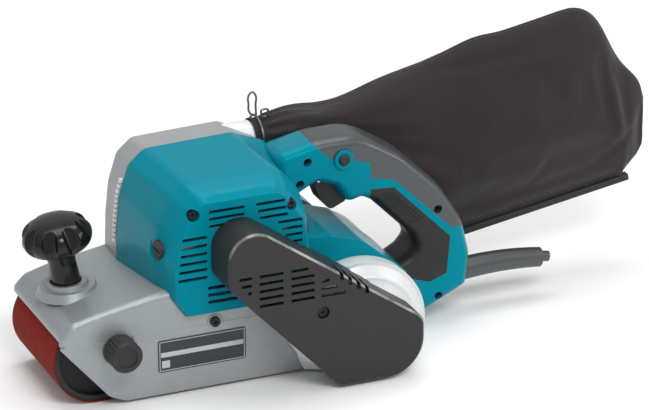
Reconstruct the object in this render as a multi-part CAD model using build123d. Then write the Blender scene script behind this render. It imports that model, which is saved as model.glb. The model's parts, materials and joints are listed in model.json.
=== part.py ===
from build123d import *
import os
from math import acos, atan2, cos, degrees, hypot, pi, radians, sin, sqrt, tan

# Handheld belt sander.  X runs to the handle end, Y to the open side, Z up.
# The origin is the centre of the sanding face.

# sanding belt and its two rollers
BELT_LENGTH = 610.0
BELT_WIDTH = 100.0
BELT_THICK = 1.0
ROLLER_R = 37.45
ROLLER_HALF = 49.0
RUN_GAP = 0.05
LOOP_R = ROLLER_R + RUN_GAP
AXIS_Z = LOOP_R + BELT_THICK
AXIS_X = (BELT_LENGTH - 2 * pi * (LOOP_R + BELT_THICK / 2)) / 4
FRONT = (-AXIS_X, AXIS_Z)
REAR = (AXIS_X, AXIS_Z)
LOOP_TOP = AXIS_Z + LOOP_R

# walls across the width
PLATE_OUT = -62.0
PLATE_IN = -59.0
WALL_IN = -56.0
OPEN_SIDE = 58.0

# gear pair from the pinion shaft to the rear roller
MODULE = 1.25
GEAR_TEETH = 36
PINION_TEETH = 14
GEAR_DISTANCE = MODULE * (GEAR_TEETH + PINION_TEETH) / 2
PINION_RISE = 4.5
PINION = (AXIS_X + sqrt(GEAR_DISTANCE ** 2 - PINION_RISE ** 2), AXIS_Z + PINION_RISE)
GEAR_Y = (-74.0, -64.5)

# ribbed drive belt from the motor to the pinion shaft
MOTOR = (25.0, 123.0)
BIG_PULLEY_R = 27.0
SMALL_PULLEY_R = 10.0
RIB_BELT_THICK = 3.0
RIB_BELT_Y = (-99.0, -87.0)
COVER_OUT = -106.0
COVER_WALL = 2.5

# motor housing, handle and deck
DECK_TOP = 85.0
HOUSING_FACE = -68.0
HOUSING_BACK = 22.0
HOUSING_WALL = 3.0
FAN_BACK = 64.0
GRIP_HALF = 21.0
TRACKING = (-80.0, 50.5)
BUTTON = (134.1, 164.0)
TRIGGER_PIVOT = (115.5, 144.5)
CASE_CENTRE = (130.0, 33.0)
CASE_R = 57.7

# screws along Y, by x and z
TAB_R = 6.4
HOUSING_SCREWS = [(-15.6, 157), (70, 153)]
PLATE_SCREWS = [(3.5, 59.3), (60, 52)]
COVER_SCREW = (80.7, 71.2)
HANDLE_SCREWS = [(102.3, 166.0), (95.5, 147.5), (218.8, 105), (219.8, 26)]

# dust outlet
NOZZLE = (45.0, 168.0)
NOZZLE_R = 13.0
NECK_X = 78.0


def at_y(sketch, y):
    """A sketch drawn as (x, z) laid in the plane at this y."""
    return Plane(origin=(0, y, 0), x_dir=(1, 0, 0), z_dir=(0, -1, 0)) * sketch


def slab(sketch, y0, y1):
    return extrude(at_y(sketch, y0), amount=y1 - y0, dir=(0, 1, 0))


def box(x0, x1, y0, y1, z0, z1):
    return Pos((x0 + x1) / 2, (y0 + y1) / 2, (z0 + z1) / 2) * Box(x1 - x0, y1 - y0, z1 - z0)


def rod_y(r, at, y0, y1):
    return Pos(at[0], (y0 + y1) / 2, at[1]) * Rot(90, 0, 0) * Cylinder(r, y1 - y0)


def rod_x(r, y, z, x0, x1):
    return Pos((x0 + x1) / 2, y, z) * Rot(0, 90, 0) * Cylinder(r, x1 - x0)


def rod_z(r, x, y, z0, z1):
    return Pos(x, y, (z0 + z1) / 2) * Cylinder(r, z1 - z0)


def ring_y(r_out, r_in, at, y0, y1):
    return rod_y(r_out, at, y0, y1) - rod_y(r_in, at, y0 - 1, y1 + 1)


def heading(a, b):
    """Unit vector from point a to point b."""
    length = hypot(b[0] - a[0], b[1] - a[1])
    return ((b[0] - a[0]) / length, (b[1] - a[1]) / length)


def corner(a, p, b, r):
    """Start, middle and end of the arc of radius r that rounds the corner a-p-b."""
    u = heading(p, a)
    v = heading(p, b)
    half = acos(u[0] * v[0] + u[1] * v[1]) / 2
    reach = r / tan(half)
    m = (u[0] + v[0], u[1] + v[1])
    k = (r / sin(half) - r) / hypot(*m)
    start = (p[0] + u[0] * reach, p[1] + u[1] * reach)
    end = (p[0] + v[0] * reach, p[1] + v[1] * reach)
    return start, (p[0] + m[0] * k, p[1] + m[1] * k), end


def rounded(points, radius):
    """Closed outline with every corner rounded; radius is one number or one per point."""
    n = len(points)
    radii = [radius] * n if isinstance(radius, (int, float)) else radius
    arcs = [corner(points[i - 1], points[i], points[(i + 1) % n], radii[i]) for i in range(n)]
    edges = []
    for i in range(n):
        edges.append(ThreePointArc(*arcs[i]))
        edges.append(Line(arcs[i][2], arcs[(i + 1) % n][0]))
    return make_face(edges)


def inset(points, d):
    """The same clockwise outline moved inwards by d."""
    n = len(points)
    moved = []
    for i in range(n):
        a, p, b = points[i - 1], points[i], points[(i + 1) % n]
        u = heading(a, p)
        v = heading(p, b)
        k = d / (1 + u[0] * v[0] + u[1] * v[1])
        moved.append((p[0] + k * (u[1] + v[1]), p[1] - k * (u[0] + v[0])))
    return moved


def loop(c1, r1, c2, r2):
    """The shape a band takes round two discs."""
    angle = atan2(c2[1] - c1[1], c2[0] - c1[0])
    lean = acos((r1 - r2) / hypot(c2[0] - c1[0], c2[1] - c1[1]))

    def at(c, r, turn):
        return (c[0] + r * cos(angle + turn), c[1] + r * sin(angle + turn))

    back = ThreePointArc(at(c1, r1, lean), at(c1, r1, pi), at(c1, r1, -lean))
    nose = ThreePointArc(at(c2, r2, -lean), at(c2, r2, 0), at(c2, r2, lean))
    return make_face([back, Line(back @ 1, nose @ 0), nose, Line(nose @ 1, back @ 0)])


def disc(at, r):
    return Pos(*at) * Circle(r)


def loft_y(sections):
    return loft([at_y(face, y) for y, face in sections], ruled=True)


def gear(at, teeth, y0, y1, bore, turn):
    """Spur gear whose teeth are straight flanked, thinned a little so that a pair runs free."""
    pitch_r = MODULE * teeth / 2
    root_r = pitch_r - 1.25 * MODULE
    tip_r = pitch_r + 0.9 * MODULE
    points = []
    for i in range(teeth):
        mid = 2 * pi * i / teeth + turn
        for r, width in ((root_r, 0.36), (pitch_r, 0.232), (tip_r, 0.105)):
            points.append((r, mid - 2 * pi * width / teeth))
        for r, width in ((tip_r, 0.105), (pitch_r, 0.232), (root_r, 0.36)):
            points.append((r, mid + 2 * pi * width / teeth))
    outline = Polygon(*[(at[0] + r * cos(a), at[1] + r * sin(a)) for r, a in points], align=None)
    return slab(outline, y0, y1) - rod_y(bore, at, y0 - 1, y1 + 1)


def screw(x, y, z, length, head_r=3.6):
    """Pan-head screw driven along +Y from its head at y."""
    body = rod_y(head_r, (x, z), y, y + 2.6) + rod_y(head_r * 0.5, (x, z), y + 2.6, y + length)
    cross = box(x - 0.5, x + 0.5, y - 1, y + 1.5, z - 2, z + 2)
    cross += box(x - 2, x + 2, y - 1, y + 1.5, z - 0.5, z + 0.5)
    return body - cross


def group(solids):
    return Compound(children=list(solids))


# ---------------------------------------------------------------- outlines

HOUSING_NEAR = [(-21, 70), (-32, 86), (-32.5, 112), (-26, 138), (-18, 158), (-8, 166),
                (60, 166), (80, 137), (83, 110), (83, 70)]
HOUSING_EDGE = [(-22, 67), (-35, 86), (-36, 114), (-30, 140), (-21, 162), (-9, 171),
                (64, 171), (84, 141), (87, 111), (87, 67)]
HOUSING_MID = [(-26, 67), (-40, 86), (-41, 116), (-36, 143), (-27, 167), (-14, 177),
               (66, 177), (87, 150), (89, 115), (89, 67)]
HOUSING_FAR = [(-46, 67), (-50, 88), (-49, 118), (-46, 146), (-38, 171), (-24, 183),
               (52, 185), (84, 172), (90, 130), (90, 67)]
HOUSING_ROUND = [4, 9, 30, 30, 12, 12, 14, 12, 20, 4]
HOUSING_STEPS = [(HOUSING_FACE, HOUSING_NEAR), (-61.0, HOUSING_EDGE), (-42.0, HOUSING_MID),
                 (HOUSING_BACK, HOUSING_FAR)]
COVER_OUTLINE = [(-1.2, 171.3), (169.5, 52), (170, 2.5), (95.8, 2.5), (-1.2, 105.4)]
COVER_ROUND = [23, 14, 32, 8, 16]
TOP_OUTLINE = [(-128.4, 45), (-128.4, 66), (-119, 75.5), (-97, 81.5), (-28, 93), (-5, 95), (-5, 45)]
TOP_ROUND = [1, 7, 14, 30, 8, 3, 1]
GRIP_OUTER = [(76, 120), (76, 174), (112, 181.5), (150, 182), (188, 158), (222, 125), (243, 92),
              (250.5, 59), (247, 31), (205, 11), (150, 11), (110, 90)]
GRIP_ROUND = [2, 10, 40, 50, 60, 60, 40, 24, 7, 7, 3, 3]
GRIP_WINDOW = [(60, 131), (96, 137), (112, 145.5), (127.5, 139.4), (140, 121.5), (152, 125.5), (162, 120),
               (197, 84), (201, 74), (194, 66), (183, 60), (173, 40), (173, 0), (60, 0)]
WINDOW_ROUND = [3, 8, 8, 8, 6, 8, 8, 10, 7, 6, 3, 3, 1, 1]
GRIP_STEPS = [(21.0, 7.0), (20.1, 4.4), (18.2, 2.5), (15.4, 1.1), (12.2, 0.3), (9.0, 0.0)]


def housing_solid(d=0.0):
    """Outside of the motor housing, or the same shape moved in by d."""
    steps = []
    for y, outline in HOUSING_STEPS:
        depth = y
        if y == HOUSING_FACE:
            depth = y + d
        if y == HOUSING_BACK and d:
            depth = y + 1
        steps.append((depth, rounded(inset(outline, d), [max(r - d, 1.0) for r in HOUSING_ROUND])))
    solid = loft_y(steps)
    return solid - box(-80, 120, PLATE_OUT - 0.3 + d, 60, 40, DECK_TOP + d)


def grip_solid():
    """D-handle with rounded flanks, open below against the gear case."""
    steps = [(-y, d) for y, d in GRIP_STEPS] + [(y, d) for y, d in reversed(GRIP_STEPS)]
    outside = []
    window = []
    for y, d in steps:
        outside.append((y, rounded(inset(GRIP_OUTER, d), [max(r - d, 1.5) for r in GRIP_ROUND])))
        window.append((y * 1.001, rounded(inset(GRIP_WINDOW, -d), [r + d for r in WINDOW_ROUND])))
    return loft_y(outside) - loft_y(window)


# ---------------------------------------------------------------- running gear

def sanding_belt():
    outer = loop(REAR, LOOP_R + BELT_THICK, FRONT, LOOP_R + BELT_THICK)
    inner = loop(REAR, LOOP_R, FRONT, LOOP_R)
    return slab(outer - inner, -BELT_WIDTH / 2, BELT_WIDTH / 2)


def front_roller():
    body = ring_y(ROLLER_R, 9, FRONT, -ROLLER_HALF, ROLLER_HALF)
    for side in (-1, 1):
        end = side * ROLLER_HALF
        body -= ring_y(33, 18, FRONT, min(end, end - side * 6), max(end, end - side * 6))
        body -= rod_y(14, FRONT, min(end, end - side * 9), max(end, end - side * 9))
    return body


def front_bearings():
    near = ring_y(14, 4 + RUN_GAP, FRONT, -ROLLER_HALF, 9 - ROLLER_HALF)
    far = ring_y(14, 4 + RUN_GAP, FRONT, ROLLER_HALF - 9, ROLLER_HALF)
    return group([near, far])


def front_axle():
    return rod_y(4, FRONT, -54.5, 54.5) - box(-120, -60, 54, 60, AXIS_Z - 0.6, AXIS_Z + 0.6)


def front_yoke():
    """Two arms and a crossbar that carry the front axle."""
    arm = loop(FRONT, 9, (-51, AXIS_Z), 7)
    yoke = slab(arm, -54, -50) + slab(arm, 50, 54) + box(-53.5, -47, -54, 54, AXIS_Z - 8, AXIS_Z + 8)
    yoke -= rod_y(4, FRONT, -60, 60)
    return yoke - rod_z(2.5 + RUN_GAP, -50.2, 52, 0, 80)


def front_carrier():
    """Slider behind the yoke, with two ears round the yoke's pivot pin."""
    low, high = AXIS_Z - 12, AXIS_Z + 12
    plate = box(-45.6, -40, -44, 50, low, high)
    for z0, z1 in ((low, AXIS_Z - 8.1), (AXIS_Z + 8.1, high)):
        plate += box(-55, -40, 46, 57, z0, z1)
    stem = box(-42, -2, -7, 7, AXIS_Z - 7, AXIS_Z + 7) - rod_x(3.2, 0, AXIS_Z, -42, -1)
    return plate + stem - rod_z(2.5, -50.2, 52, 0, 80) - rod_x(5.4, 0, AXIS_Z, -12, 0)


def yoke_pin():
    return rod_z(2.5, -50.2, 52, AXIS_Z - 13.5, AXIS_Z + 13.5)


def tension_spring():
    """Compression spring in the slider's bore, pushing the front roller forwards."""
    path = Helix(pitch=3.7, height=16.6, radius=4.0)
    wire = sweep(Plane(origin=path @ 0, z_dir=path % 0) * Circle(0.7), path=path)
    return Pos(-10.8, 0, AXIS_Z) * Rot(0, 90, 0) * wire


def rear_roller():
    body = ring_y(34.4, 6, REAR, -ROLLER_HALF, ROLLER_HALF)
    for side in (-1, 1):
        end = side * ROLLER_HALF
        body -= ring_y(31, 13, REAR, min(end, end - side * 7), max(end, end - side * 7))
    return body


def rear_lagging():
    """Rubber sleeve with shallow cross grooves."""
    sleeve = ring_y(ROLLER_R, 34.4, REAR, -ROLLER_HALF, ROLLER_HALF)
    for i in range(24):
        a = 2 * pi * i / 24
        groove = (REAR[0] + (ROLLER_R + 0.4) * cos(a), REAR[1] + (ROLLER_R + 0.4) * sin(a))
        sleeve -= rod_y(1.2, groove, -ROLLER_HALF - 1, ROLLER_HALF + 1)
    return sleeve


def rear_shaft():
    return rod_y(6, REAR, -76.5, 56.5)


def shaft_bearings():
    """Fixed bearings of the rear roller, the pinion shaft and the motor."""
    rear = [ring_y(16, 6 + RUN_GAP, REAR, -62, -52), ring_y(13, 6 + RUN_GAP, REAR, 50, 56)]
    mid = [ring_y(11, 5 + RUN_GAP, PINION, -82, -75), ring_y(11, 5 + RUN_GAP, PINION, -63.5, -58)]
    motor = [ring_y(13, 4 + RUN_GAP, MOTOR, -65, -57), ring_y(11, 4 + RUN_GAP, MOTOR, 24, 31)]
    return group(rear + mid + motor)


def roller_gear():
    return gear(REAR, GEAR_TEETH, *GEAR_Y, 6, atan2(PINION[1] - REAR[1], PINION[0] - REAR[0]))


def pinion_shaft():
    back = atan2(REAR[1] - PINION[1], REAR[0] - PINION[0])
    teeth = gear(PINION, PINION_TEETH, *GEAR_Y, 4.9, back + pi / PINION_TEETH)
    return teeth + rod_y(5, PINION, -101.5, -57.5)


def pulley(at, r, bore, flange):
    """Ribbed pulley with a flange at each side of the belt."""
    y0, y1 = RIB_BELT_Y
    profile = [(bore, y0 - 1.6), (r + flange, y0 - 1.6), (r + flange, y0 - 0.2), (r, y0 - 0.2)]
    for i in range(5):
        mid = y0 + 1.2 + (y1 - y0 - 2.4) * i / 4
        profile += [(r, mid - 0.8), (r - 0.9, mid), (r, mid + 0.8)]
    profile += [(r, y1 + 0.2), (r + flange, y1 + 0.2), (r + flange, y1 + 1.6), (bore, y1 + 1.6)]
    turned = revolve(Plane.XY * Polygon(*profile, align=None), axis=Axis.Y)
    return Pos(at[0], 0, at[1]) * turned


def driven_pulley():
    wheel = pulley(PINION, BIG_PULLEY_R, 5, 2.2)
    for i in range(5):
        a = 2 * pi * i / 5
        wheel -= rod_y(5, (PINION[0] + 16 * cos(a), PINION[1] + 16 * sin(a)), -110, -80)
    return wheel


def motor_pulley():
    return pulley(MOTOR, SMALL_PULLEY_R, 4, 2.2)


def drive_belt():
    g = RUN_GAP
    t = RIB_BELT_THICK
    outer = loop(PINION, BIG_PULLEY_R + t, MOTOR, SMALL_PULLEY_R + t)
    inner = loop(PINION, BIG_PULLEY_R + g, MOTOR, SMALL_PULLEY_R + g)
    return slab(outer - inner, *RIB_BELT_Y)


# ---------------------------------------------------------------- motor

def armature_shaft():
    return rod_y(4, MOTOR, -101.8, 58)


def armature_core():
    """Laminated core with its winding slots and end windings."""
    core = ring_y(24, 4, MOTOR, -28, 4)
    for i in range(16):
        a = 2 * pi * i / 16
        core -= rod_y(1.7, (MOTOR[0] + 22.6 * cos(a), MOTOR[1] + 22.6 * sin(a)), -30, 6)
    return core + ring_y(19, 4, MOTOR, -34, -28) + ring_y(19, 4, MOTOR, 4, 9)


def commutator():
    drum = ring_y(14, 4, MOTOR, -54, -36)
    for i in range(24):
        drum -= Pos(MOTOR[0], 0, MOTOR[1]) * Rot(0, 15 * i, 0) * box(13, 15, -55, -35, -0.3, 0.3)
    return drum


def stator():
    """Field laminations with two coils round the poles."""
    shell = slab(rounded([(-9, 88.5), (-9, 157.5), (59, 157.5), (59, 88.5)], 20), -28, 4)
    shell -= rod_y(24.7, MOTOR, -40, 20)
    for s in (-1, 1):
        mid = MOTOR[1] + s * 28
        coil = rounded([(5, mid - 4), (5, mid + 4), (45, mid + 4), (45, mid - 4)], 3)
        shell += slab(coil, -34, 9)
    return shell - rod_y(24.7, MOTOR, -40, 20)


def bladed(r, hub, y0, y1, count, at):
    """Radial fan: a back plate, a hub and straight vanes."""
    wheel = ring_y(r, 4, at, y1 - 2, y1) + ring_y(hub, 4, at, y0, y1)
    for i in range(count):
        vane = Rot(0, 360 * i / count, 0) * box(hub - 1, r - 0.5, y0, y1, -0.9, 0.9)
        wheel += Pos(at[0], 0, at[1]) * vane
    return wheel


def cooling_fan():
    return bladed(31, 8, 11, 18, 14, MOTOR)


def dust_fan():
    return bladed(32, 9, 38, 54, 10, MOTOR)


def brush_tube(x0, x1, grow=0.0):
    return box(x0, x1, -50.5 - grow, -41.5 + grow, 118 - grow, 128 + grow)


def brush_holders():
    front = brush_tube(-33, 8) - brush_tube(-40, 20, -1.6)
    rear = brush_tube(42, 82) - brush_tube(30, 90, -1.6)
    return group([front, rear])


def brushes():
    gap = 0.05
    pair = group([brush_tube(-6, MOTOR[0], -1.65), brush_tube(MOTOR[0], 56, -1.65)])
    return pair - rod_y(14 + gap, MOTOR, -60, -30)


def brush_caps():
    """Slotted screw caps over the brushes, one at each end."""
    caps = []
    for x0, x1, face in ((-40.0, -33, -40.4), (82, 89.4, 90)):
        cap = rod_x(8, -46, 123, x0, x1) - box(face - 2, face + 2, -53, -39, 122.1, 123.9)
        caps.append(cap)
    return group(caps)


def vent_slots():
    """Horizontal air slots in the housing's near face: x range and height of each."""
    slots = []
    for k in range(3):
        slots.append((-2.5, 28 if k < 2 else 25, 158 - 6.2 * k))
        slots.append((38 + 1.5 * k, 63 + 1.2 * k, 158 - 6.2 * k))
        slots.append((-4, 14 + 4 * k, 92 - 6.2 * k))
    for k in range(6):
        slots.append((-25.5 - 0.8 * k, -4.5, 137 - 7 * k))
        slots.append((57 + 3.2 * k, 78, 139 - 6.2 * k))
    return slots


def motor_housing():
    body = housing_solid() - housing_solid(HOUSING_WALL)
    body += ring_y(16, 13, MOTOR, -66, -57)
    body -= rod_y(13, MOTOR, -65, -57)
    body -= rod_y(5.5, MOTOR, -70, -60)
    for x0, x1, z in vent_slots():
        body -= box(x0, x1, -70, -60, z - 1.4, z + 1.4)
    for z in (100, 146):
        body += box(-60, -9, -20, -12, z - 2, z + 2) & housing_solid(1.0)
        body += box(59, 88, -20, -12, z - 2, z + 2) & housing_solid(1.0)
    body -= rod_x(12, -46, 123, -60, -39.4)
    body -= rod_x(8.0, -46, 123, -60, -30)
    body -= rod_x(8.0, -46, 123, 80, 99)
    for x, z in HOUSING_SCREWS:
        body -= rod_y(5.2, (x, z), -72, -62)
        body += rod_y(6.6, (x, z), -62, -53) & housing_solid(1.0)
        body -= rod_y(1.8, (x, z), -63, -52)
    return body


# ---------------------------------------------------------------- frame and plates

def base_frame():
    """Casting: near wall, platen block, open-side arm and the deck over the belt."""
    wall = slab(rounded([(-45, 6), (-45, DECK_TOP), (112, DECK_TOP), (112, 6)], 5), PLATE_IN, WALL_IN)
    block = box(-30, 50, WALL_IN, 50, 7, 66) - box(-24, 44, -46, 44, 12, 22) - box(12, 44, -46, 44, 28, 60)
    block -= box(-31, 7, -7.05, 7.05, AXIS_Z - 7.05, AXIS_Z + 7.05)
    arm = slab(loop(REAR, 18, (30, AXIS_Z), 24), 50, 56) + box(-30, 50, 50, 56, 10, 66)
    deck = box(-45, 100, WALL_IN, 52, LOOP_TOP + 3, DECK_TOP)
    deck += box(30, 34, WALL_IN, -51, 12, 82)
    boss = rod_y(20, REAR, -61.5, -52)
    pinion_boss = rod_y(14, PINION, PLATE_IN, WALL_IN)
    body = wall + block + arm + deck + boss + pinion_boss
    body -= rod_y(16, REAR, -62.5, -50.5)
    body -= rod_y(13, REAR, 49, 56.5)
    body -= rod_y(11, PINION, -66, -55)
    body -= rod_y(8, PINION, -60, -50)
    return body - rod_y(5 + RUN_GAP, (-5, AXIS_Z), 40, 60)


def platen_pad():
    return box(-60, 70, -48, 48, 1.6 + 1.05, 7)


def platen_plate():
    return box(-60, 70, -48, 48, BELT_THICK + RUN_GAP, 2.65)


def side_plate():
    points = [(-128.4, 58), (93, 58), (93, 2.4), (-74, 2.4), (-88, 8.5), (-128.4, 56)]
    outline = rounded(points, [1, 1, 1, 12, 12, 1])
    plate = slab(outline, PLATE_OUT, PLATE_IN) + slab(disc(PLATE_SCREWS[0], TAB_R), PLATE_OUT, PLATE_IN)
    rim = slab(disc(TRACKING, 15.5) & outline, PLATE_OUT - 1.6, PLATE_OUT)
    rim -= rod_y(13.9, TRACKING, -70, PLATE_OUT - 0.4)
    plate = plate + rim - rod_y(7, TRACKING, -70, -50) - rod_y(20, REAR, -70, -50)
    for x, z in PLATE_SCREWS:
        plate -= rod_y(2.1, (x, z), -70, -50)
    return plate


def rating_plate():
    return slab(rounded([(-46, 22), (-46, 50), (30, 50), (30, 22)], 2), PLATE_OUT - 0.6, PLATE_OUT)


def top_solid():
    """Outside of the sloping cover, its long edges eased towards both sides."""
    steps = [(PLATE_OUT, 4.0), (PLATE_OUT + 1.2, 1.8), (PLATE_OUT + 4, 0.4), (PLATE_OUT + 8, 0.0),
             (OPEN_SIDE - 8, 0.0), (OPEN_SIDE - 4, 0.6), (OPEN_SIDE - 1.2, 2.6), (OPEN_SIDE, 5.0)]
    sections = []
    for y, d in steps:
        sections.append((y, rounded(inset(TOP_OUTLINE, d), [max(r - d, 1) for r in TOP_ROUND])))
    return loft_y(sections) & box(-140, -20, -70, 70, 58, 120)


def grip_axis(distance):
    """Point on the front grip's leaning axis, this far above its foot."""
    lean = radians(9.5)
    return (-100.3 - distance * sin(lean), 0, 82 + distance * cos(lean))


def front_cover():
    """Sloping cast cover over the front roller with its stepped grip boss and near skirt."""
    body = top_solid()
    clear = slab(loop(REAR, LOOP_R + BELT_THICK + 1.2, FRONT, LOOP_R + BELT_THICK + 1.2), -56, 70)
    low = box(-140, 0, -56, 70, 30, 62)
    body -= clear + low
    body -= box(-45.2, 0, PLATE_IN, 70, 40, DECK_TOP + 0.2)
    boss = Pos(*grip_axis(-3)) * Rot(0, -4, 0)
    body += boss * Pos(0, 0, 3) * Cone(26.5, 22.5, 7)
    body += boss * Pos(0, 0, 5.5) * Cone(19.5, 16.5, 9)
    body -= Pos(*grip_axis(0)) * Rot(0, -9.5, 0) * Pos(0, 0, 14.2) * Cylinder(13, 20)
    body -= Pos(*grip_axis(0)) * Rot(0, -9.5, 0) * Cylinder(4, 60)
    body += box(-45, 64, PLATE_OUT, PLATE_IN, 58, DECK_TOP)
    body -= slab(disc(PLATE_SCREWS[0], TAB_R + 0.1), PLATE_OUT - 1, PLATE_IN + 0.1)
    body -= slab(loop(REAR, LOOP_R + BELT_THICK + 1.2, FRONT, LOOP_R + BELT_THICK + 1.2), -56, 70)
    return body - housing_solid() - fan_shape()


def grip_stem():
    """Flared stem of the front grip."""
    profile = Polyline((0, 4.3), (12.2, 4.3), (12.2, 8), (11.4, 25), (13, 36), (0, 36))
    face = make_face([*profile.edges(), Line((0, 36), (0, 4.3))])
    return revolve(Plane.XZ * face, axis=Axis.Z)


def front_knob():
    """Lobed mushroom head on its stem, leaning forwards."""
    edge = Spline((0, 63), (15.5, 61.7), (25.6, 56.5), (29, 48.5), (26.2, 40), (19.5, 36), (12, 35))
    face = make_face([edge, Line((12, 35), (0, 35)), Line((0, 35), (0, 63))])
    head = revolve(Plane.XZ * face, axis=Axis.Z)
    for i in range(9):
        around = Rot(0, 0, 40 * i)
        head -= around * Pos(33.2, 0, 38) * Cylinder(7.6, 30)
        head -= around * Pos(33.2, 0, 48) * Rot(0, -26, 0) * Pos(0, 0, 15) * Cylinder(7.6, 34)
    whole = grip_stem() + head - Cylinder(4, 90)
    return Pos(*grip_axis(0)) * Rot(0, -9.5, 0) * whole


def knob_bolt():
    bolt = Pos(0, 0, 15) * Cylinder(4, 44)
    return Pos(*grip_axis(0)) * Rot(0, -9.5, 0) * bolt - slab(loop(REAR, 39.6, FRONT, 39.6), -56, 70)


def tracking_knob():
    body = rod_y(13.4, TRACKING, -84, -66) + rod_y(12, TRACKING, -66, -62.4)
    body = chamfer(body.edges().filter_by(GeomType.CIRCLE).group_by(Axis.Y)[0], 1.6)
    for i in range(22):
        a = 2 * pi * i / 22
        body -= rod_y(0.8, (TRACKING[0] + 13.6 * cos(a), TRACKING[1] + 13.6 * sin(a)), -82, -67)
    body -= rod_y(9, TRACKING, -85, -82.6)
    return body - rod_y(3, TRACKING, -80, -60)


def tracking_screw():
    """Adjusting screw whose small off-centre cam leans on the near arm."""
    return rod_y(3, TRACKING, -80, -58.5) + rod_y(5, (TRACKING[0] + 1.2, TRACKING[1]), -58.5, -56)


# ---------------------------------------------------------------- gear case, hood and dust path

# the dome's stages outwards: radius at the foot, radius at the top, depth from and to
CASE_STAGES = [(54.6, 47.0, -65.5, -71.0), (47.0, 46.2, -71.0, -73.5), (44.6, 35.0, -73.5, -79.0)]


def case_disc(r, y0, y1):
    return slab(disc(CASE_CENTRE, r), y0, y1)


def gear_case():
    """Stepped dome over the gears, with the outer pinion bearing in its nose."""
    body = case_disc(CASE_R, -65.5, PLATE_IN)
    for foot, top, y0, y1 in CASE_STAGES:
        body += loft([at_y(disc(CASE_CENTRE, foot), y0), at_y(disc(CASE_CENTRE, top), y1)])
    body += rod_y(27, REAR, -77.5, PLATE_IN) + rod_y(14, PINION, -82, -74)
    body -= box(40, 220, -90, -50, -60, 3)
    body -= slab(disc(REAR, 24.6) + disc(PINION, 11.3), -76.8, -60)
    body -= rod_y(20, REAR, -63, -58) + rod_y(14, PINION, -63, -58)
    body -= rod_y(11, PINION, -83, -74)
    body -= box(60, 90.2, -70, -58, 66, 92)
    return body - box(60, 93.1, -62.5, -55, 0, 60)


def hood_shell():
    body = case_disc(CASE_R, PLATE_IN, 54) - box(60, 112.2, -60, PLATE_IN + 3.1, -40, 120)
    body -= box(40, 101, -70, 70, -60, 120) + box(40, 220, -70, 70, -60, 4)
    body -= slab(disc(REAR, LOOP_R + 4), -70, 70)
    body -= slab(disc(CASE_CENTRE, CASE_R - 4), -52, 50)
    body -= box(40, 142, -70, 70, 0, AXIS_Z) - rod_y(200, (400, 0), -90, 90)
    body -= rod_y(14, PINION, -66, WALL_IN)
    return body - box(104, 122, 37, 49, 80, 100)


def dust_duct():
    outline = [(91, 92), (91, 118), (108, 118), (128, 103), (134, 90.5), (101, 91)]
    tube = slab(rounded(outline, 4), 34, 52) - slab(rounded(inset(outline, 2.5), 2), 36.5, 49.5)
    tube -= box(104, 122, 37, 49, 80, 97) + box(85, 96, 37, 49, 96, 114)
    return tube - case_disc(CASE_R - 1, -60, 60)


def rear_hood():
    """Shroud behind the rear roller that gathers the dust, with its channel to the fan."""
    return hood_shell() + dust_duct()


def rear_body():
    """Teal saddle between the motor housing, the hood and the handle's foot."""
    outline = rounded([(86, DECK_TOP + 0.5), (86, 114), (110, 112), (138, 103), (178, 68), (160, 60),
                       (120, 80)], [1, 2, 20, 14, 1, 3, 3])
    body = slab(outline, -52, HOUSING_BACK - 0.1) - case_disc(CASE_R, -70, 60) - housing_solid()
    return body - box(80, 101, -70, 60, 60, DECK_TOP)


FAN_STEPS = [(HOUSING_BACK, 0.6), (28, 0.6), (28, 1.2), (40, 1.2), (40, 2.2), (54, 2.2), (54, 4.5),
             (FAN_BACK, 12.0)]
COMB_Z = (104.0, 158.0)


def far_outline(d):
    return rounded(inset(HOUSING_FAR, d), [max(r - d, 3.0) for r in HOUSING_ROUND])


def fan_shape():
    """Stepped far-side casting, each step a little smaller, with a flat shoulder for the outlet."""
    whole = None
    for (y0, d0), (y1, d1) in zip(FAN_STEPS, FAN_STEPS[1:]):
        if y1 == y0:
            continue
        if d0 == d1:
            stage = slab(far_outline(d0), y0, y1)
        else:
            stage = loft_y([(y0, far_outline(d0)), (y1, far_outline(d1))])
        whole = stage if whole is None else whole + stage
    return whole - box(-80, 120, 0, 90, 40, DECK_TOP + 1) - box(NECK_X - 4, 120, 0, 90, 149, 200)


def front_band(d0, d1, y0, y1, grow=0.0):
    """Strip along the casting's front edge, between two insets of its outline."""
    strip = slab(far_outline(d0) - far_outline(d1), y0, y1)
    return strip & box(-60, -30, y0, y1, COMB_Z[0] - grow, COMB_Z[1] + grow)


def fan_housing():
    body = fan_shape() - slab(disc(MOTOR, 34), 34, 59) - box(20, 62, 37, 53, 135, 172)
    body -= rod_y(13.5, MOTOR, 20, 25) - rod_y(13, MOTOR, 24, 32)
    body -= rod_y(11, MOTOR, 24, 31) + rod_y(5, MOTOR, 20, 36)
    body -= slab(disc(MOTOR, 30), HOUSING_BACK - 1, HOUSING_BACK + 1)
    body -= rod_x(NOZZLE_R - 2, *NOZZLE, 50, 100)
    body -= box(80, 95, 37, 49, 96, 114)
    return body - front_band(-3.0, 2.05, HOUSING_BACK, 27.5, 0.1)


def dust_nozzle():
    """Outlet spout that the bag's neck slides over."""
    tube = rod_x(NOZZLE_R, *NOZZLE, 50, 104) + rod_x(NOZZLE_R + 1.2, *NOZZLE, 50, NECK_X - 1)
    tube -= fan_shape()
    tube -= housing_solid()
    return tube - rod_x(NOZZLE_R - 2, *NOZZLE, 40, 110)


def vent_comb():
    """Toothed air strip beside the housing's far edge."""
    teeth = front_band(-1.6, 0.4, 23.6, 27.4)
    for i in range(12):
        z = 107 + 4.2 * i
        teeth -= box(-60, -30, 20, 30, z, z + 1.5)
    return teeth + front_band(0.4, 2.0, 23.6, 27.4)


# ---------------------------------------------------------------- handle

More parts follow.
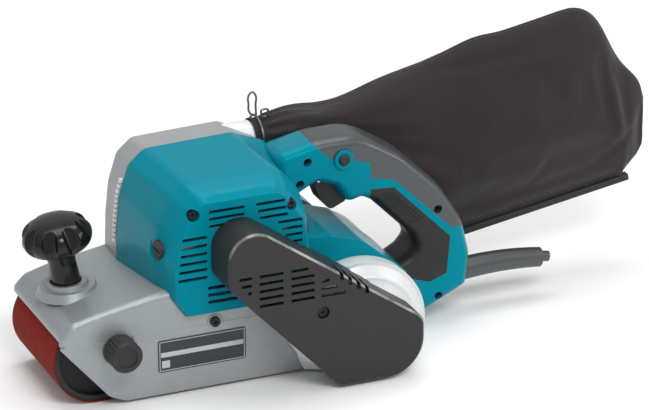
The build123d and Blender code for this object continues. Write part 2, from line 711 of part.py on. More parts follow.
TOP_REGION = [(108, 195), (108, 180), (124.5, 164.5), (158, 157.5), (158, 143), (179, 138.5),
              (231, 87), (262, 84), (262, 195)]
INNER_REGION = [(158, 133), (158, 100), (181, 50), (212, 40.5), (227, 46), (230, 79), (179, 131.5)]


def trigger_pocket():
    return slab(rounded([(106, 140), (106, 158), (150, 152), (146, 118), (120, 110)], 3), -9.6, 9.6)


def teal_handle():
    body = grip_solid()
    body -= slab(Polygon(*TOP_REGION, align=None), -40, 40)
    body -= slab(Polygon(*INNER_REGION, align=None), -40, 40)
    body += ring_y(8.5, 4.9, BUTTON, -GRIP_HALF - 2, -9.6)
    body -= rod_y(4.9, BUTTON, -40, -9)
    body -= box(122, 156, -9.6, 9.6, 141, 172)
    body -= trigger_pocket()
    body -= rod_y(1.5, TRIGGER_PIVOT, -12.5, 12.5)
    body -= housing_solid() + rear_body()
    body -= case_disc(CASE_R, -70, 60) & box(60, 200, -70, 60, 3, 100)
    body -= rod_x(9, 0, 37, 226, 260)
    return body


def handle_half(side):
    room = box(60, 280, -60, 0, -20, 220) if side < 0 else box(60, 280, 0, 60, -20, 220)
    return (teal_handle() & room) - handle_screws_solid()


def grip_overmold():
    body = grip_solid() & slab(Polygon(*TOP_REGION, align=None), -40, 40)
    body -= box(122, 156, -9.6, 9.6, 141, 172)
    body -= rod_y(8.5, BUTTON, -30, -9)
    return body - housing_solid() - handle_screws_solid()


def inner_grip():
    """Ribbed rubber inside the hand opening."""
    body = grip_solid() & slab(Polygon(*INNER_REGION, align=None), -40, 40)
    for i in range(5):
        start, end = (163 + 3.2 * i, 133 - 1.2 * i), (195 + 2.6 * i, 90 + 2 * i)
        run = atan2(end[1] - start[1], end[0] - start[0])
        groove = Pos((start[0] + end[0]) / 2, 0, (start[1] + end[1]) / 2) * Rot(0, -degrees(run), 0)
        for y in (-GRIP_HALF, GRIP_HALF):
            body -= groove * Pos(0, y, 0) * Box(40, 1.2, 1.1)
    return body - rear_body() - case_disc(CASE_R, -60, 60) - rod_x(9, 0, 37, 226, 260)


def handle_screws_solid():
    solid = None
    for x, z in HANDLE_SCREWS:
        hole = rod_y(3.7, (x, z), -40, -12) + rod_y(1.8, (x, z), -13, 8)
        solid = hole if solid is None else solid + hole
    return solid


def trigger():
    points = [(112, 142), (114, 149), (139, 141), (141, 121.5), (127, 115.5), (119, 124)]
    outline = rounded(points, [2, 2, 2, 3, 5, 3])
    return slab(outline, -9, 9) - rod_y(1.5 + RUN_GAP, TRIGGER_PIVOT, -12, 12)


def trigger_pin():
    return rod_y(1.5, TRIGGER_PIVOT, -12.5, 12.5)


def switch_body():
    return box(124, 155, -9, 9, 151, 171) - rod_y(5.5, BUTTON, -10, -5)


def lock_button():
    body = rod_y(4.9 - RUN_GAP, BUTTON, -GRIP_HALF - 4, -9.2)
    return chamfer(body.edges().filter_by(GeomType.CIRCLE).group_by(Axis.Y)[0], 1.0)


def cord_guard():
    """Ribbed rubber sleeve, slightly drooping, held in the handle's heel."""
    path = Spline((247, 0, 37), (285, 0, 38.5), (322, 0, 35.5))
    guard = loft([Plane(origin=path @ 0, z_dir=path % 0) * Circle(9.8),
                  Plane(origin=path @ 0.5, z_dir=path % 0.5) * Circle(9.2),
                  Plane(origin=path @ 1, z_dir=path % 1) * Circle(8.4)])
    guard += rod_x(8.9, 0, 37, 228, 248)
    return guard - cord_solid() - grip_solid()


def cord_solid():
    path = Spline((228, 0, 37), (247, 0, 37), (285, 0, 38.5), (330, 0, 34.8))
    return sweep(Plane(origin=path @ 0, z_dir=path % 0) * Circle(4.5), path=path)


# ---------------------------------------------------------------- covers, dust bag and lever

def cover_solid(d=0.0):
    outline = rounded(inset(COVER_OUTLINE, d), [max(r - d, 1) for r in COVER_ROUND])
    return slab(outline, COVER_OUT + d, -64)


def cover_slots():
    """Air slots in four short columns: x from, x to, height."""
    rows = [112.4, 105.9, 99.4, 92.9, 86.4]
    slots = [(8, 18.5, rows[0]), (10, 18.5, rows[1]), (15.5, 18.5, rows[2])]
    for k, z in enumerate(rows):
        slots.append((25.3, 45.9, z))
        slots.append((52.8, 67.6 if k == 0 else 72.8, z))
    return slots + [(78.9, 85.8, rows[2]), (78.9, 92.5, rows[3]), (78.9, 99.8, rows[4])]


def drive_cover():
    body = cover_solid()
    rim = [e for e in body.edges() if abs(e.center().Y - COVER_OUT) < 0.01]
    body = chamfer(rim, 1.8)
    body -= cover_solid(COVER_WALL)
    for x0, x1, z in cover_slots():
        body -= box(x0, x1, -108, -102, z - 1.3, z + 1.3)
    for i in range(4):
        x = 95 + 7.4 * i
        top = 171.3 - 0.699 * (x + 1.2)
        body -= box(x, x + 3.4, -108, -86, top - 7, top + 4)
    body += ring_y(7.6, 5.2, COVER_SCREW, -104.5, -80)
    body += rod_y(5.6, COVER_SCREW, -101.4, -80)
    body -= rod_y(5.2, COVER_SCREW, -108, -101.4)
    body -= rod_y(2.1, COVER_SCREW, -103, -70)
    return body - housing_solid() - gear_case_block()


def gear_case_block():
    """Room for the stepped dome inside the drive cover."""
    block = case_disc(CASE_R, -65.5, -50)
    for foot, _, y0, y1 in CASE_STAGES:
        block += case_disc(foot, y1, y0)
    return block + rod_y(27, REAR, -77.5, -60) + rod_y(14, PINION, -82, -74)


def case_screws():
    """All the pan-head screws that hold the castings, covers and handle halves."""
    heads = [screw(x, -64.6, z, 10.5) for x, z in HOUSING_SCREWS]
    heads += [screw(x, PLATE_OUT - 2.6, z, 5.6, 4.2) for x, z in PLATE_SCREWS]
    heads += [screw(x, -15.6, z, 20, 3.6) for x, z in HANDLE_SCREWS]
    return group(heads + [screw(COVER_SCREW[0], -104.2, COVER_SCREW[1], 18, 4.0)])


# x, top, bottom, half thickness and mid-plane of the dust bag
BAG_STATIONS = [
    (NECK_X, 183.8, 152.2, 15.8, 45), (90, 184, 152, 16, 45), (104, 186.5, 149.5, 18, 46),
    (140, 184, 136, 21, 51), (180, 188, 112, 24.5, 55.5), (220, 199, 85, 27, 57),
    (262, 210, 54.5, 28, 58), (310, 219, 61, 29, 58), (365, 230, 68.5, 27, 58), (385, 229, 71, 25, 58),
    (398, 219, 73, 23, 58), (409, 199, 75, 21, 58), (420, 178, 77, 18.5, 58), (433, 164, 82, 13, 58),
    (445, 140, 96, 6, 58)]
BAG_Y = 58.0


def bag_shape(d=0.0):
    """Stitched pouch lofted through upright ovals: x, top, bottom, half thickness."""
    sections = []
    for x, top, low, half, y in BAG_STATIONS:
        back = d if x > 440 else 0
        plane = Plane(origin=(x - back, y, (top + low) / 2), x_dir=(0, 1, 0), z_dir=(1, 0, 0))
        sections.append(plane * Ellipse(half - d, (top - low) / 2 - d))
    return loft(sections)


RAIL_START = (256.0, 40.2)
RAIL_END = (434.0, 69.2)
RAIL_ANGLE = degrees(atan2(RAIL_END[1] - RAIL_START[1], RAIL_END[0] - RAIL_START[0]))


def along_rail(length, width, height, rise):
    middle = Pos((RAIL_START[0] + RAIL_END[0]) / 2, BAG_Y, (RAIL_START[1] + RAIL_END[1]) / 2)
    return middle * Rot(0, -RAIL_ANGLE, 0) * Pos(0, 0, rise) * Box(length, width, height)


def dust_bag():
    """Pouch with its neck bore and the flat hem that the rail grips."""
    body = bag_shape()
    hem = along_rail(164, 1.2, 21.4, 10.2) + along_rail(164, 3.4, 2.0, 0.4)
    body = body + hem
    body -= bag_shape(2.0) & box(104.2, 500, -50, 150, 0, 300)
    return body - rod_x(NOZZLE_R + RUN_GAP, *NOZZLE, NECK_X - 4, 104.3)


def bag_rail():
    """Slotted bar that closes the bag's lower edge."""
    return along_rail(176, 6.4, 5.4, 0.5) - along_rail(190, 3.8, 2.4, 0.4) - along_rail(190, 1.7, 8, 4.5)


def hairpin(x, y, base, high, wide):
    """Finger loop of the spring wire, narrow at its foot."""
    left = [(x - wide, y, base + high * share) for share in (0.25, 0.5, 0.84)]
    right = [(x + wide, y, base + high * share) for share in (0.84, 0.5, 0.25)]
    path = Spline((x + 1.2, y, base), *left, (x, y, base + high), *right, (x + 3.5, y, base))
    return sweep(Plane(origin=path @ 0, z_dir=path % 0) * Circle(0.9), path=path)


def bag_clamp():
    """Spring wire ring round the bag's neck with two finger loops."""
    ring = Pos(83.5, *NOZZLE) * Rot(0, 90, 0) * Torus(17.3, 1.1)
    tall = hairpin(80.2, NOZZLE[0], NOZZLE[1] + 18.6, 20.5, 3.2)
    short = hairpin(89.6, NOZZLE[0] - 4, NOZZLE[1] + 17.6, 6.5, 3.0)
    return group([ring, tall, short])


def tension_lever():
    """Flat lever on the open side that draws the front roller back."""
    arm = loop((-5, AXIS_Z), 9, (42, 26), 6)
    lever = slab(arm, 56.6, 60) + rod_y(6, (42, 26), 60, 68)
    return lever - rod_y(4, (-5, AXIS_Z), 50, 70)


def lever_pin():
    pin = rod_y(4, (-5, AXIS_Z), 44, 60) + rod_y(5, (-5, AXIS_Z), 44, 56.6)
    return pin + rod_y(6.5, (-5, AXIS_Z), 60, 62.5)


PARTS = {
    "sanding_belt": sanding_belt,
    "front_roller": front_roller,
    "front_bearings": front_bearings,
    "front_axle": front_axle,
    "front_yoke": front_yoke,
    "front_carrier": front_carrier,
    "yoke_pin": yoke_pin,
    "tension_spring": tension_spring,
    "rear_roller": rear_roller,
    "rear_lagging": rear_lagging,
    "rear_shaft": rear_shaft,
    "shaft_bearings": shaft_bearings,
    "roller_gear": roller_gear,
    "pinion_shaft": pinion_shaft,
    "driven_pulley": driven_pulley,
    "motor_pulley": motor_pulley,
    "drive_belt": drive_belt,
    "armature_shaft": armature_shaft,
    "armature_core": armature_core,
    "commutator": commutator,
    "stator": stator,
    "cooling_fan": cooling_fan,
    "dust_fan": dust_fan,
    "brush_holders": brush_holders,
    "brushes": brushes,
    "brush_caps": brush_caps,
    "motor_housing": motor_housing,
    "case_screws": case_screws,
    "base_frame": base_frame,
    "platen_pad": platen_pad,
    "platen_plate": platen_plate,
    "side_plate": side_plate,
    "rating_plate": rating_plate,
    "front_cover": front_cover,
    "front_knob": front_knob,
    "knob_bolt": knob_bolt,
    "tracking_knob": tracking_knob,
    "tracking_screw": tracking_screw,
    "gear_case": gear_case,
    "rear_hood": rear_hood,
    "rear_body": rear_body,
    "fan_housing": fan_housing,
    "dust_nozzle": dust_nozzle,
    "vent_comb": vent_comb,
    "handle_near": lambda: handle_half(-1),
    "handle_far": lambda: handle_half(1),
    "grip_overmold": grip_overmold,
    "inner_grip": inner_grip,
    "trigger": trigger,
    "trigger_pin": trigger_pin,
    "switch_body": switch_body,
    "lock_button": lock_button,
    "cord_guard": cord_guard,
    "power_cord": cord_solid,
    "drive_cover": drive_cover,
    "dust_bag": dust_bag,
    "bag_rail": bag_rail,
    "bag_clamp": bag_clamp,
    "tension_lever": tension_lever,
    "lever_pin": lever_pin,
}


def main():
    os.makedirs("parts", exist_ok=True)
    for name, make in PARTS.items():
        export_step(make(), f"parts/{name}.step")


main()
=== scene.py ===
import json
import math

import bmesh
import bpy
import numpy as np
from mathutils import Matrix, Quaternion, Vector, noise


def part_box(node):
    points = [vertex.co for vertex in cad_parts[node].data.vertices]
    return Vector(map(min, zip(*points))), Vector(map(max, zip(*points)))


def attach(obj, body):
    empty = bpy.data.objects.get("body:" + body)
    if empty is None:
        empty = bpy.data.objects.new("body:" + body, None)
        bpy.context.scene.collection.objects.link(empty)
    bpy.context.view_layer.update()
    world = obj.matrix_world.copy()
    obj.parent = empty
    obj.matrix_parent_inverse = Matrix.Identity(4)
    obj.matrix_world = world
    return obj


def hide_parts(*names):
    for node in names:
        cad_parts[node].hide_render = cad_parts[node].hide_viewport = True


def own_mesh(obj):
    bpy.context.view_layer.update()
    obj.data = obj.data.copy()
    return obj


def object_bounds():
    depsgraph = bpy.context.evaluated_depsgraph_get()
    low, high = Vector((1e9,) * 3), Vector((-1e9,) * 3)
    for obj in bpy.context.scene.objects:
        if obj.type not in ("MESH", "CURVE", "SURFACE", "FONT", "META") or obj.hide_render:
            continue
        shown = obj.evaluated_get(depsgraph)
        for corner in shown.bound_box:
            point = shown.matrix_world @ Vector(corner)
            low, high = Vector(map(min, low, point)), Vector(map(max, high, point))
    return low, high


# Handheld belt sander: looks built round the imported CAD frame. Metres, +X to the handle end, +Z up.

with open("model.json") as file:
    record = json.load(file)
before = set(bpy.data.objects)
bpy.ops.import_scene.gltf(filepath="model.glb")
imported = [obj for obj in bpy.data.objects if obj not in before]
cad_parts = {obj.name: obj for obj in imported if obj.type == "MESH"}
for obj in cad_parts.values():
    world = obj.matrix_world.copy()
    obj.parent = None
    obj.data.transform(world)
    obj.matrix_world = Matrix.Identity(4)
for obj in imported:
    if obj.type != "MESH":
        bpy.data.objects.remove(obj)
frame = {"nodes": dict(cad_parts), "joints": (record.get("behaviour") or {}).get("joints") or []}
cad_low, cad_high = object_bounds()
nodes = frame["nodes"]

MM = 0.001


# ---------------------------------------------------------------- node materials

class Graph:
    """One material's node tree. Textures run in object coordinates, which are the frame's own metres."""

    def __init__(self, name):
        self.material = bpy.data.materials.new(name)
        self.material.use_nodes = True
        self.tree = self.material.node_tree
        self.shader = self.tree.nodes["Principled BSDF"]
        self.coords = self.add("ShaderNodeTexCoord").outputs["Object"]

    def add(self, kind, **settings):
        node = self.tree.nodes.new(kind)
        for key, value in settings.items():
            setattr(node, key, value)
        return node

    def put(self, value, socket):
        if isinstance(value, bpy.types.NodeSocket):
            self.tree.links.new(value, socket)
        elif isinstance(value, (tuple, list)) and len(value) == 3 and socket.type == "RGBA":
            socket.default_value = (*value, 1.0)
        else:
            socket.default_value = value

    def noise(self, scale, detail=3.0, rough=0.55, stretch=None, seed=0.0):
        node = self.add("ShaderNodeTexNoise")
        where = self.coords
        if stretch or seed:
            mapping = self.add("ShaderNodeMapping")
            self.put(where, mapping.inputs["Vector"])
            mapping.inputs["Scale"].default_value = stretch or (1, 1, 1)
            mapping.inputs["Location"].default_value = (seed, seed * 0.7, seed * 1.3)
            where = mapping.outputs[0]
        self.put(where, node.inputs["Vector"])
        node.inputs["Scale"].default_value = scale
        node.inputs["Detail"].default_value = detail
        node.inputs["Roughness"].default_value = rough
        return node.outputs[0]

    def maths(self, operation, a, b=0.0, clamp=False):
        node = self.add("ShaderNodeMath", operation=operation, use_clamp=clamp)
        self.put(a, node.inputs[0])
        self.put(b, node.inputs[1])
        return node.outputs[0]

    def span(self, value, low, high, to_low=0.0, to_high=1.0):
        node = self.add("ShaderNodeMapRange")
        self.put(value, node.inputs[0])
        for i, number in enumerate((low, high, to_low, to_high)):
            self.put(number, node.inputs[i + 1])
        return node.outputs[0]

    def mix(self, share, a, b):
        node = self.add("ShaderNodeMix", data_type="RGBA")
        self.put(share, node.inputs[0])
        self.put(a, node.inputs[6])
        self.put(b, node.inputs[7])
        return node.outputs[2]

    def bands(self, direction, pitch, distortion=0.0):
        """Wave bands of the given pitch in metres."""
        node = self.add("ShaderNodeTexWave", bands_direction=direction)
        self.put(self.coords, node.inputs["Vector"])
        node.inputs["Scale"].default_value = 2 * math.pi / (20 * pitch)
        node.inputs["Distortion"].default_value = distortion
        node.inputs["Detail"].default_value = 1.0
        return node.outputs["Fac"]


def shade(colour, factor):
    return tuple(min(1.0, c * factor) for c in colour)


def finish_material(name, colour, rough, metal=0.0, mottle=0.08, grain=0.6, bump=0.05, edge_wear_and_highlight=0.3,
                    worn_and_lit_colour=None, edge=0.6, coat=0.0, sheen=0.0, speckle=0.0, specular=0.5, streak=None,
                    tint=(1.0, 1.0, 1.0), hollow_shade=0.45):
    """Moulded, cast or turned surface. grain and edge are in millimetres: size of the surface
    texture and radius of the softened edges; edge_wear_and_highlight is how far edges go to
    worn_and_lit_colour, which is edge wear with a painted highlight, and hollow_shade how dark corners and
    gaps get as painted shade."""
    g = Graph(name)
    broad = g.noise(14.0, 4.0, seed=1.7)
    middle = g.noise(110.0, 5.0, 0.6, stretch=streak, seed=4.1)
    fine = g.noise(1.0 / (grain * MM), 2.0, 0.6, stretch=streak)
    base = g.mix(broad, shade(colour, 1 - mottle), shade(colour, 1 + mottle))
    base = g.mix(g.span(middle, 0.35, 0.7, 0.0, 0.35), base, shade(colour, 1 - 1.6 * mottle))
    if speckle:
        base = g.mix(g.span(fine, 0.5, 0.72, 0.0, speckle), base, shade(colour, 1.9))
        base = g.mix(g.span(fine, 0.46, 0.28, 0.0, speckle), base, shade(colour, 0.35))
    soft = g.add("ShaderNodeBevel", samples=6)
    soft.inputs["Radius"].default_value = edge * MM
    geometry = g.add("ShaderNodeNewGeometry")
    dot = g.add("ShaderNodeVectorMath", operation="DOT_PRODUCT")
    g.put(soft.outputs[0], dot.inputs[0])
    g.put(geometry.outputs["Normal"], dot.inputs[1])
    # Edge wear with a painted highlight: edges found by the bevel normal are lightened towards the worn
    # colour, in patches.
    edges = g.span(dot.outputs["Value"], 0.995, 0.86)
    edges = g.maths("MULTIPLY", edges, g.span(middle, 0.32, 0.6), clamp=True)
    base = g.mix(g.maths("MULTIPLY", edges, edge_wear_and_highlight), base, worn_and_lit_colour or shade(colour, 2.2))
    # Painted shade: ambient occlusion darkens corners, gaps and step lines towards a quarter of the colour.
    hollow = g.add("ShaderNodeAmbientOcclusion", samples=4)
    hollow.inputs["Distance"].default_value = 2.5 * MM
    base = g.mix(g.span(hollow.outputs["AO"], 0.75, 0.35, 0.0, hollow_shade), base, shade(colour, 0.25))
    roughness = g.maths("ADD", g.span(broad, 0.3, 0.7, rough - 0.05, rough + 0.06),
                        g.span(middle, 0.3, 0.7, -0.04, 0.05), clamp=True)
    height = g.maths("ADD", fine, g.maths("MULTIPLY", middle, 0.3))
    bumped = g.add("ShaderNodeBump")
    bumped.inputs["Strength"].default_value = min(1.0, bump * 4)
    bumped.inputs["Distance"].default_value = grain * MM * 0.35
    g.put(height, bumped.inputs["Height"])
    g.put(soft.outputs[0], bumped.inputs["Normal"])
    g.put(base, g.shader.inputs["Base Color"])
    g.put(roughness, g.shader.inputs["Roughness"])
    g.put(bumped.outputs[0], g.shader.inputs["Normal"])
    g.shader.inputs["Metallic"].default_value = metal
    g.shader.inputs["Coat Weight"].default_value = coat
    g.shader.inputs["Coat Roughness"].default_value = 0.12
    g.shader.inputs["Sheen Weight"].default_value = sheen
    g.shader.inputs["Specular IOR Level"].default_value = specular
    g.put(tint, g.shader.inputs["Specular Tint"])
    return g


def cloth_material(name, colour, pitch):
    """Woven cloth: crossing threads, faded patches and a soft sheen."""
    g = Graph(name)
    warp = g.bands("X", pitch * MM, 1.2)
    weft = g.bands("Z", pitch * MM, 1.2)
    across = g.bands("Y", pitch * MM, 1.2)
    weave = g.maths("MAXIMUM", warp, g.maths("MAXIMUM", weft, g.maths("MULTIPLY", across, 0.6)))
    broad = g.noise(9.0, 4.0, 0.6)
    fluff = g.noise(420.0, 4.0, 0.7)
    base = g.mix(broad, shade(colour, 0.8), shade(colour, 1.22))
    base = g.mix(g.span(weave, 0.2, 0.9, 0.22, 0.0), base, shade(colour, 0.45))
    base = g.mix(g.span(fluff, 0.55, 0.8, 0.0, 0.3), base, shade(colour, 1.8))
    height = g.maths("ADD", weave, g.maths("MULTIPLY", fluff, 0.9))
    bumped = g.add("ShaderNodeBump")
    bumped.inputs["Strength"].default_value = 0.35
    bumped.inputs["Distance"].default_value = 0.12 * MM
    g.put(height, bumped.inputs["Height"])
    g.put(base, g.shader.inputs["Base Color"])
    g.put(g.span(fluff, 0.3, 0.7, 0.72, 0.92), g.shader.inputs["Roughness"])
    g.put(bumped.outputs[0], g.shader.inputs["Normal"])
    g.shader.inputs["Sheen Weight"].default_value = 0.12
    g.shader.inputs["Sheen Roughness"].default_value = 0.45
    g.shader.inputs["Specular IOR Level"].default_value = 0.3
    return g


def abrasive_material():
    """Closely packed grit on cloth, with one slanting joint across the belt."""
    g = finish_material("abrasive", (0.190, 0.016, 0.011), 0.85, mottle=0.14, grain=0.35, bump=0.25,
                        edge_wear_and_highlight=0.15, speckle=0.45, worn_and_lit_colour=(0.16, 0.04, 0.03), edge=0.4, specular=0.2,
                        tint=(1.0, 0.4, 0.3))
    parts = g.add("ShaderNodeSeparateXYZ")
    g.put(g.coords, parts.inputs[0])
    middle = (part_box("sanding_belt")[0].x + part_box("sanding_belt")[1].x) / 2
    slant = g.maths("ADD", parts.outputs["X"], g.maths("MULTIPLY", parts.outputs["Y"], 0.55))
    away = g.maths("ABSOLUTE", g.maths("SUBTRACT", slant, middle + 0.03))
    joint = g.span(away, 0.6 * MM, 1.4 * MM, 0.55, 0.0)
    colour_in = g.shader.inputs["Base Color"]
    before = colour_in.links[0].from_socket
    g.put(g.mix(joint, before, (0.06, 0.015, 0.012)), colour_in)
    return g


def rim_material():
    """Drive cover plastic: a painted highlight lightens its bevelled rim where the rim faces up and towards
    -Y.
    """
    g = finish_material("cover_plastic", (0.021, 0.021, 0.0205), 0.42, mottle=0.10, grain=0.6, bump=0.12,
                        edge_wear_and_highlight=0.0, edge=0.5, specular=0.32)
    facing = g.add("ShaderNodeSeparateXYZ")
    g.put(g.add("ShaderNodeNewGeometry").outputs["Normal"], facing.inputs[0])
    outward = g.maths("MULTIPLY", facing.outputs["Y"], -1.0)
    bevelled = g.maths("MULTIPLY", g.span(outward, 0.35, 0.55), g.span(outward, 0.93, 0.80))
    rim = g.maths("MULTIPLY", bevelled, g.span(facing.outputs["Z"], 0.1, 0.5), clamp=True)
    # Noise breaks the painted rim highlight into patches.
    highlight_patches = g.noise(60.0, 3.0)
    rim = g.maths("MULTIPLY", rim, g.span(highlight_patches, 0.35, 0.6, 0.25, 0.9))
    colour_in = g.shader.inputs["Base Color"]
    g.put(g.mix(rim, colour_in.links[0].from_socket, (0.36, 0.36, 0.35)), colour_in)
    return g


TEAL = (0.0004, 0.190, 0.256)
SILVER = (0.30, 0.325, 0.332)
# The finishes lighten their edges as edge wear with a painted highlight, and darken corners and gaps with
# painted shade.
MATERIALS = {
    "teal_plastic": finish_material("teal_plastic", TEAL, 0.31, mottle=0.05, grain=0.6, bump=0.010,
                                    edge_wear_and_highlight=0.35, worn_and_lit_colour=(0.02, 0.36, 0.45), edge=0.9, specular=0.36,
                                    tint=(0.02, 0.75, 0.95), hollow_shade=0.3),
    "black_plastic": finish_material("black_plastic", (0.021, 0.021, 0.0205), 0.46, mottle=0.10,
                                     grain=0.5, bump=0.10, edge_wear_and_highlight=0.55, worn_and_lit_colour=(0.13, 0.13, 0.13), edge=0.9,
                                     specular=0.30),
    "cover_plastic": rim_material(),
    "spring_wire": finish_material("spring_wire", (0.16, 0.16, 0.16), 0.30, metal=0.8, grain=0.4,
                                   bump=0.04, edge_wear_and_highlight=0.5, worn_and_lit_colour=(0.40, 0.40, 0.40), edge=0.3),
    "gloss_black": finish_material("gloss_black", (0.0055, 0.005, 0.0045), 0.15, mottle=0.2, grain=1.2,
                                   bump=0.01, edge_wear_and_highlight=0.2, edge=0.7, coat=0.1, speckle=0.05, specular=0.3),
    "grey_rubber": finish_material("grey_rubber", (0.040, 0.046, 0.049), 0.34, mottle=0.12, grain=0.4,
                                   bump=0.09, edge_wear_and_highlight=0.3, worn_and_lit_colour=(0.10, 0.11, 0.115), edge=0.9, specular=0.75,
                                   hollow_shade=0.15),
    "grip_rubber": finish_material("grip_rubber", (0.013, 0.013, 0.013), 0.45, mottle=0.15, grain=0.4,
                                   bump=0.10, edge_wear_and_highlight=0.3, worn_and_lit_colour=(0.07, 0.07, 0.07), edge=0.7, specular=0.35),
    "cast_aluminium": finish_material("cast_aluminium", SILVER, 0.38, metal=0.45, mottle=0.07, grain=0.7,
                                      bump=0.06, edge_wear_and_highlight=0.28, worn_and_lit_colour=(0.58, 0.61, 0.61), edge=0.9,
                                      speckle=0.06),
    # Its steps are picked out by painted shade in the corners and a painted highlight on the edges.
    "stepped_casting": finish_material("stepped_casting", (0.33, 0.35, 0.355), 0.40, metal=0.4, mottle=0.06,
                                       grain=0.7, bump=0.06, edge_wear_and_highlight=0.5, worn_and_lit_colour=(0.66, 0.68, 0.68), edge=0.2,
                                       speckle=0.06, hollow_shade=0.9),
    "pale_casting": finish_material("pale_casting", (0.62, 0.65, 0.655), 0.38, metal=0.2, mottle=0.05,
                                    grain=0.8, bump=0.06, edge_wear_and_highlight=0.6, worn_and_lit_colour=(0.80, 0.82, 0.82), edge=1.0,
                                    speckle=0.05),
    "steel": finish_material("steel", (0.50, 0.50, 0.49), 0.28, metal=1.0, grain=0.5, bump=0.03, edge_wear_and_highlight=0.3,
                             edge=0.3, streak=(1, 12, 1)),
    "dark_steel": finish_material("dark_steel", (0.045, 0.045, 0.048), 0.35, metal=0.8, grain=0.6,
                                  bump=0.04, edge_wear_and_highlight=0.6, worn_and_lit_colour=(0.30, 0.30, 0.30), edge=0.3),
    "black_screw": finish_material("black_screw", (0.010, 0.010, 0.011), 0.38, metal=0.4, grain=0.5,
                                   bump=0.05, edge_wear_and_highlight=0.25, worn_and_lit_colour=(0.10, 0.10, 0.10), edge=0.2),
    "abrasive": abrasive_material(),
    "bag_cloth": cloth_material("bag_cloth", (0.021, 0.0165, 0.0185), 0.9),
    "copper": finish_material("copper", (0.72, 0.28, 0.12), 0.30, metal=1.0, grain=0.5, bump=0.05),
    "brass": finish_material("brass", (0.70, 0.48, 0.18), 0.28, metal=1.0, grain=0.5, bump=0.03),
    "lamination": finish_material("lamination", (0.22, 0.22, 0.23), 0.42, metal=0.8, grain=0.5, bump=0.2,
                                  streak=(1, 20, 1)),
    "white_plastic": finish_material("white_plastic", (0.66, 0.68, 0.685), 0.42, mottle=0.03, grain=0.6,
                                     bump=0.03, edge_wear_and_highlight=0.2, worn_and_lit_colour=(0.8, 0.81, 0.81), edge=0.5),
    "label_film": finish_material("label_film", (0.010, 0.016, 0.018), 0.30, mottle=0.15, grain=0.8,
                                  bump=0.02, edge_wear_and_highlight=0.6, worn_and_lit_colour=(0.30, 0.32, 0.33), edge=0.4, coat=0.2),
    "cork_pad": finish_material("cork_pad", (0.30, 0.17, 0.09), 0.85, mottle=0.2, grain=1.6, bump=0.25,
                                speckle=0.4),
    "carbon": finish_material("carbon", (0.02, 0.02, 0.022), 0.6, mottle=0.1, grain=0.4, bump=0.1),
    "belt_rubber": finish_material("belt_rubber", (0.018, 0.018, 0.019), 0.62, mottle=0.1, grain=0.6,
                                   bump=0.12, streak=(1, 6, 1)),
    "lagging": finish_material("lagging", (0.016, 0.0155, 0.015), 0.7, mottle=0.12, grain=0.5, bump=0.12),
}
SEAM = finish_material("seam_thread", (0.075, 0.068, 0.070), 0.75, grain=0.25, bump=0.2, sheen=0.2).material
BAND = finish_material("label_band", (0.42, 0.46, 0.47), 0.32, mottle=0.04, grain=0.8, bump=0.02,
                       edge_wear_and_highlight=0.1, coat=0.3).material

SMOOTH_ANGLE = math.radians(33)        # edges steeper than this stay sharp
WELD = 2e-6                            # the CAD mesh's doubled vertices lie closer than this


def smoothing_group():
    """Node group that joins doubled vertices, drops stored normals and keeps only real creases sharp."""
    group = bpy.data.node_groups.new("soft_creases", "GeometryNodeTree")
    group.interface.new_socket("Geometry", in_out="INPUT", socket_type="NodeSocketGeometry")
    group.interface.new_socket("Geometry", in_out="OUTPUT", socket_type="NodeSocketGeometry")
    add, link = group.nodes.new, group.links.new
    start, end = add("NodeGroupInput"), add("NodeGroupOutput")
    weld = add("GeometryNodeMergeByDistance")
    weld.inputs["Distance"].default_value = WELD
    plain = add("GeometryNodeRemoveAttribute")
    plain.inputs["Name"].default_value = "custom_normal"
    faces, creases = add("GeometryNodeSetShadeSmooth"), add("GeometryNodeSetShadeSmooth")
    faces.domain, creases.domain = "FACE", "EDGE"
    creases.inputs["Shade Smooth"].default_value = False
    angle, steep = add("GeometryNodeInputMeshEdgeAngle"), add("FunctionNodeCompare")
    steep.operation = "GREATER_THAN"
    steep.inputs[1].default_value = SMOOTH_ANGLE
    link(start.outputs[0], weld.inputs["Geometry"])
    link(weld.outputs[0], plain.inputs["Geometry"])
    link(plain.outputs[0], faces.inputs["Geometry"])
    link(faces.outputs[0], creases.inputs["Geometry"])
    link(angle.outputs["Unsigned Angle"], steep.inputs[0])
    link(steep.outputs[0], creases.inputs["Selection"])
    link(creases.outputs[0], end.inputs[0])
    return group


SOFT_CREASES = smoothing_group()
MATERIAL_OF_NODE = {"bag_clamp": "spring_wire", "fan_housing": "stepped_casting",
                    "case_screws": "black_screw", "drive_cover": "cover_plastic",
                    "inner_grip": "grip_rubber"}

for node in nodes.values():
    for material_slot in node.material_slots:
        kind = MATERIAL_OF_NODE.get(node.name, material_slot.material.name.split(".")[0])
        material_slot.material = MATERIALS[kind].material
    node.modifiers.new("soft_creases", "NODES").node_group = SOFT_CREASES
    weighted = node.modifiers.new("flat_faces_stay_flat", "WEIGHTED_NORMAL")
    weighted.keep_sharp = True


# ---------------------------------------------------------------- mesh helpers

def new_piece(name, verts, faces, material, body, slot, smooth=True):
    mesh = bpy.data.meshes.new(name)
    mesh.from_pydata([tuple(v) for v in verts], [], faces)
    mesh.validate()
    mesh.polygons.foreach_set("use_smooth", [smooth] * len(mesh.polygons))
    mesh.materials.append(material)
    piece = bpy.data.objects.new(name, mesh)
    bpy.context.scene.collection.objects.link(piece)
    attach(piece, body)
    return piece


